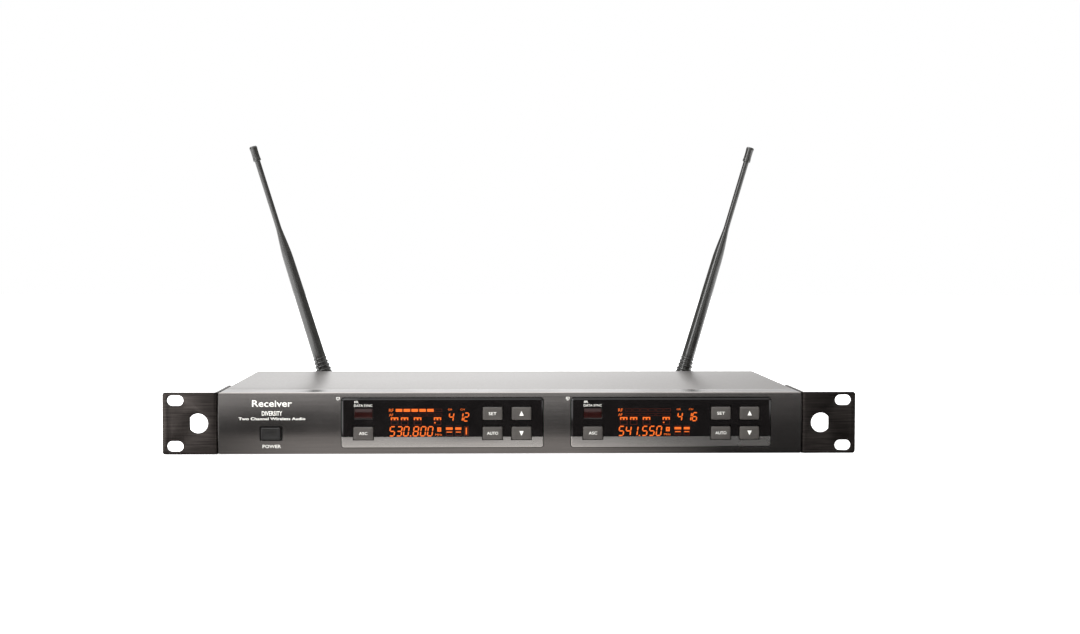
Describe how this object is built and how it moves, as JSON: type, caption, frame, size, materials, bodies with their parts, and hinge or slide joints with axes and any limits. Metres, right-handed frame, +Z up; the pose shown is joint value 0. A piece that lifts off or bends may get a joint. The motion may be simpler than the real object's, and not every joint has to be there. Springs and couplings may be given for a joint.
{
  "type": "rack-mount wireless receiver",
  "caption": "One-unit rack-mount wireless audio receiver with twin display windows, push keys, bolted ears and leaning rear whip antennas.",
  "frame": {"origin": "on the underside, midway across the case and midway along its depth", "axes": "+X to the right as seen from the front, +Y towards the rear, +Z up"},
  "size_m": [0.4826, 0.231, 0.2284],
  "materials": {
    "case_steel": "zinc-plated sheet steel, satin",
    "cover_paint": "satin silver-grey powder coat",
    "rear_paint": "fine black powder coat",
    "bezel_metal": "extruded, dark gunmetal anodised, satin",
    "button_plastic": "moulded, gunmetal finish, satin",
    "ear_paint": "black enamel over brushed steel, satin",
    "window_acrylic": "cast black acrylic, polished",
    "trim_silver": "brushed silver, satin gloss",
    "lens_red": "dark red infrared-passing plastic, polished",
    "display_glass": "black display glass",
    "key_plastic": "moulded dark grey, fine texture",
    "board_laminate": "green solder mask on glass laminate",
    "socket_plastic": "black glass-filled nylon",
    "socket_nickel": "nickel plate, polished",
    "tin_plate": "tin-plated steel, bright",
    "ribbon_pvc": "grey ribbon cable, matt",
    "coax_jacket": "brown cable jacket, smooth",
    "elbow_nylon": "moulded black nylon",
    "antenna_rubber": "moulded black rubber, satin",
    "screw_black": "black-oxide steel"
  },
  "bodies": {
    "case": {"base_tray": "case_steel", "top_cover": "cover_paint", "rear_panel": "rear_paint", "front_panel": "bezel_metal", "rack_ear_left": "ear_paint", "rack_ear_right": "ear_paint", "window_a": "window_acrylic", "window_b": "window_acrylic", "trim_strip_a": "trim_silver", "trim_strip_b": "trim_silver", "ir_lens_a": "lens_red", "ir_lens_b": "lens_red", "display_a": "display_glass", "display_b": "display_glass", "front_board": "board_laminate", "main_board": "board_laminate", "power_switch": "socket_plastic", "jack_mix_out": "socket_plastic", "dc_inlet": "socket_plastic", "xlr_out_a": "socket_nickel", "xlr_out_b": "socket_nickel", "jack_nut": "socket_nickel", "bnc_jack_left": "socket_nickel", "bnc_jack_right": "socket_nickel", "bnc_nut_left": "socket_nickel", "bnc_nut_right": "socket_nickel", "rf_shield_a": "tin_plate", "rf_shield_b": "tin_plate", "ribbon_cable": "ribbon_pvc", "coax_left": "coax_jacket", "coax_right": "coax_jacket", "ear_screw_left_front": "screw_black", "ear_screw_left_rear": "screw_black", "ear_screw_right_front": "screw_black", "ear_screw_right_rear": "screw_black", "cover_screw_left_front": "screw_black", "cover_screw_left_rear": "screw_black", "cover_screw_right_front": "screw_black", "cover_screw_right_rear": "screw_black"},
    "power_button": {"power_button": "button_plastic"},
    "key_sync_a": {"key_sync_a": "key_plastic"},
    "key_set_a": {"key_set_a": "key_plastic"},
    "key_auto_a": {"key_auto_a": "key_plastic"},
    "key_up_a": {"key_up_a": "key_plastic"},
    "key_down_a": {"key_down_a": "key_plastic"},
    "key_sync_b": {"key_sync_b": "key_plastic"},
    "key_set_b": {"key_set_b": "key_plastic"},
    "key_auto_b": {"key_auto_b": "key_plastic"},
    "key_up_b": {"key_up_b": "key_plastic"},
    "key_down_b": {"key_down_b": "key_plastic"},
    "antenna_left_elbow": {"antenna_elbow_left": "elbow_nylon", "hinge_pin_left": "socket_nickel"},
    "antenna_left_whip": {"whip_left": "antenna_rubber", "whip_cap_left": "elbow_nylon"},
    "antenna_left_collar": {"coupling_collar_left": "socket_nickel"},
    "antenna_right_elbow": {"antenna_elbow_right": "elbow_nylon", "hinge_pin_right": "socket_nickel"},
    "antenna_right_whip": {"whip_right": "antenna_rubber", "whip_cap_right": "elbow_nylon"},
    "antenna_right_collar": {"coupling_collar_right": "socket_nickel"}
  },
  "joints": [
    {"name": "power_press", "type": "slide", "parent": "case", "child": "power_button", "axis": [0, 1, 0], "range_m": [0, 0.002], "stiffness_N_per_m": 600, "springref_m": -0.001},
    {"name": "key_sync_a_press", "type": "slide", "parent": "case", "child": "key_sync_a", "axis": [0, 1, 0], "range_m": [0, 0.0005], "stiffness_N_per_m": 600, "springref_m": -0.001},
    {"name": "key_set_a_press", "type": "slide", "parent": "case", "child": "key_set_a", "axis": [0, 1, 0], "range_m": [0, 0.0005], "stiffness_N_per_m": 600, "springref_m": -0.001},
    {"name": "key_auto_a_press", "type": "slide", "parent": "case", "child": "key_auto_a", "axis": [0, 1, 0], "range_m": [0, 0.0005], "stiffness_N_per_m": 600, "springref_m": -0.001},
    {"name": "key_up_a_press", "type": "slide", "parent": "case", "child": "key_up_a", "axis": [0, 1, 0], "range_m": [0, 0.0005], "stiffness_N_per_m": 600, "springref_m": -0.001},
    {"name": "key_down_a_press", "type": "slide", "parent": "case", "child": "key_down_a", "axis": [0, 1, 0], "range_m": [0, 0.0005], "stiffness_N_per_m": 600, "springref_m": -0.001},
    {"name": "key_sync_b_press", "type": "slide", "parent": "case", "child": "key_sync_b", "axis": [0, 1, 0], "range_m": [0, 0.0005], "stiffness_N_per_m": 600, "springref_m": -0.001},
    {"name": "key_set_b_press", "type": "slide", "parent": "case", "child": "key_set_b", "axis": [0, 1, 0], "range_m": [0, 0.0005], "stiffness_N_per_m": 600, "springref_m": -0.001},
    {"name": "key_auto_b_press", "type": "slide", "parent": "case", "child": "key_auto_b", "axis": [0, 1, 0], "range_m": [0, 0.0005], "stiffness_N_per_m": 600, "springref_m": -0.001},
    {"name": "key_up_b_press", "type": "slide", "parent": "case", "child": "key_up_b", "axis": [0, 1, 0], "range_m": [0, 0.0005], "stiffness_N_per_m": 600, "springref_m": -0.001},
    {"name": "key_down_b_press", "type": "slide", "parent": "case", "child": "key_down_b", "axis": [0, 1, 0], "range_m": [0, 0.0005], "stiffness_N_per_m": 600, "springref_m": -0.001},
    {"name": "antenna_left_swivel", "type": "hinge", "parent": "case", "child": "antenna_left_elbow", "pos_m": [-0.1446, 0.122, 0.0215], "axis": [0, -1, 0], "range_deg": [-47, 72]},
    {"name": "antenna_left_tilt", "type": "hinge", "parent": "antenna_left_elbow", "child": "antenna_left_whip", "pos_m": [-0.1446, 0.122, 0.0215], "axis": [-0.9548, 0, -0.2974], "range_deg": [0, 90]},
    {"name": "antenna_left_collar_turn", "type": "hinge", "parent": "antenna_left_elbow", "child": "antenna_left_collar", "pos_m": [-0.1446, 0.122, 0.0215], "axis": [0, 1, 0], "range_deg": [0, 70]},
    {"name": "antenna_right_swivel", "type": "hinge", "parent": "case", "child": "antenna_right_elbow", "pos_m": [0.1425, 0.122, 0.0215], "axis": [0, 1, 0], "range_deg": [-46, 73]},
    {"name": "antenna_right_tilt", "type": "hinge", "parent": "antenna_right_elbow", "child": "antenna_right_whip", "pos_m": [0.1425, 0.122, 0.0215], "axis": [-0.9593, 0, 0.2823], "range_deg": [0, 90]},
    {"name": "antenna_right_collar_turn", "type": "hinge", "parent": "antenna_right_elbow", "child": "antenna_right_collar", "pos_m": [0.1425, 0.122, 0.0215], "axis": [0, 1, 0], "range_deg": [0, 70]}
  ]
}
